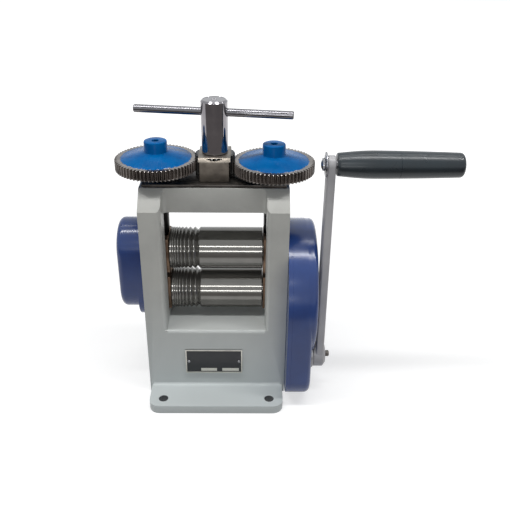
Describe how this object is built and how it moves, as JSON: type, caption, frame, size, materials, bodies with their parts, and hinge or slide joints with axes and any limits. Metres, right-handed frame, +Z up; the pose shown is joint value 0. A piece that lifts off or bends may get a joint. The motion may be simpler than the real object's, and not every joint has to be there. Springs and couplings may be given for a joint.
{
  "type": "jewellers rolling mill",
  "caption": "Bench rolling mill with a pair of grooved and flat steel rolls, geared screw-down with a T-handle on top, reduction gear case and hand crank.",
  "frame": {"origin": "middle of the base casting on the bench face, straight below the roll axes", "axes": "+X along the rolls to the crank side, -Y towards the operator, +Z up"},
  "size_m": [0.3855, 0.1864, 0.358],
  "materials": {
    "frame_paint": "satin warm grey enamel on cast iron",
    "navy_enamel": "gloss deep blue enamel",
    "gear_blue": "bright blue paint on the web, bare dark steel teeth",
    "roll_steel": "hardened and mirror polished steel",
    "machined_steel": "turned steel",
    "dark_steel": "oiled dark steel",
    "block_steel": "ground steel with a warm tint",
    "chrome": "bright chrome",
    "bronze": "machined bronze",
    "arm_paint": "grey paint on flat bar",
    "grip_plastic": "satin black moulded plastic",
    "plate_black": "black plate with a bright border, no lettering"
  },
  "bodies": {
    "frame": {"frame": "frame_paint", "left_cover": "navy_enamel", "right_cover": "navy_enamel", "gear_case_plate": "navy_enamel", "top_plate": "dark_steel", "pinion_block": "block_steel", "crank_inner_bush": "bronze", "crank_outer_bush": "bronze", "nameplate": "plate_black", "left_lower_chock": "bronze", "left_front_spring": "machined_steel", "left_rear_spring": "machined_steel", "left_lead_nut": "bronze", "left_top_plate_screw": "dark_steel", "left_block_screw": "dark_steel", "left_nameplate_rivet": "machined_steel", "right_lower_chock": "bronze", "right_front_spring": "machined_steel", "right_rear_spring": "machined_steel", "right_lead_nut": "bronze", "right_top_plate_screw": "dark_steel", "right_block_screw": "dark_steel", "right_nameplate_rivet": "machined_steel", "case_plate_front_screw": "dark_steel", "case_plate_rear_screw": "dark_steel", "left_cover_lower_screw": "dark_steel", "left_cover_upper_screw": "dark_steel", "case_top_screw": "dark_steel", "case_front_screw": "dark_steel", "case_rear_screw": "dark_steel", "case_foot_screw": "dark_steel"},
    "crank": {"crank_shaft": "machined_steel", "crank_pinion": "dark_steel", "crank_arm": "arm_paint", "crank_bolt": "dark_steel", "grip_axle": "machined_steel", "grip_washer": "machined_steel", "grip_nut": "machined_steel"},
    "grip": {"handle_grip": "grip_plastic"},
    "lower_roll": {"lower_roll": "roll_steel", "lower_sync_gear": "dark_steel", "lower_sync_nut": "dark_steel", "drive_gear": "dark_steel", "drive_gear_nut": "dark_steel"},
    "upper_carriage": {"left_upper_chock": "bronze", "right_upper_chock": "bronze"},
    "upper_roll": {"upper_roll": "roll_steel", "upper_sync_gear": "dark_steel", "upper_sync_nut": "dark_steel"},
    "left_adjuster": {"left_adjusting_gear": "gear_blue", "left_lead_screw": "dark_steel"},
    "right_adjuster": {"right_adjusting_gear": "gear_blue", "right_lead_screw": "dark_steel"},
    "t_spindle": {"adjusting_pinion": "dark_steel", "handle_hub": "chrome"},
    "tommy_bar": {"tommy_bar": "chrome"}
  },
  "joints": [
    {"name": "crank_turn", "type": "hinge", "parent": "frame", "child": "crank", "pos_m": [0.126, -0.04, 0.04942], "axis": [1, 0, 0], "continuous": true},
    {"name": "grip_turn", "type": "hinge", "parent": "crank", "child": "grip", "pos_m": [0.2, -0.04, 0.29882], "axis": [1, 0, 0], "continuous": true},
    {"name": "lower_roll_turn", "type": "hinge", "parent": "frame", "child": "lower_roll", "pos_m": [0, 0, 0.121], "axis": [1, 0, 0], "continuous": true},
    {"name": "adjust_turn", "type": "hinge", "parent": "frame", "child": "t_spindle", "pos_m": [0, 0, 0.3], "axis": [0, 0, 1], "range_deg": [-1560, 455]},
    {"name": "carriage_lift", "type": "slide", "parent": "frame", "child": "upper_carriage", "axis": [0, 0, 1], "range_m": [-0.0051, 0.0015], "deforming": ["left_front_spring", "left_rear_spring", "right_front_spring", "right_rear_spring"]},
    {"name": "upper_roll_turn", "type": "hinge", "parent": "upper_carriage", "child": "upper_roll", "pos_m": [0, 0, 0.1765], "axis": [1, 0, 0], "continuous": true},
    {"name": "left_adjuster_turn", "type": "hinge", "parent": "upper_carriage", "child": "left_adjuster", "pos_m": [-0.06635, 0, 0.28], "axis": [0, 0, 1], "range_deg": [-215, 733]},
    {"name": "right_adjuster_turn", "type": "hinge", "parent": "upper_carriage", "child": "right_adjuster", "pos_m": [0.06635, 0, 0.28], "axis": [0, 0, 1], "range_deg": [-215, 733]},
    {"name": "tommy_bar_slide", "type": "slide", "parent": "t_spindle", "child": "tommy_bar", "axis": [0.9903, -0.1392, 0], "range_m": [-0.07, 0.07]}
  ],
  "couplings": [
    {"joint": "lower_roll_turn", "follows": "crank_turn", "ratio": -0.20588},
    {"joint": "upper_roll_turn", "follows": "crank_turn", "ratio": 0.20588},
    {"joint": "carriage_lift", "follows": "adjust_turn", "m_per_rad": 0.00018651},
    {"joint": "left_adjuster_turn", "follows": "adjust_turn", "ratio": -0.46875},
    {"joint": "right_adjuster_turn", "follows": "adjust_turn", "ratio": -0.46875}
  ]
}
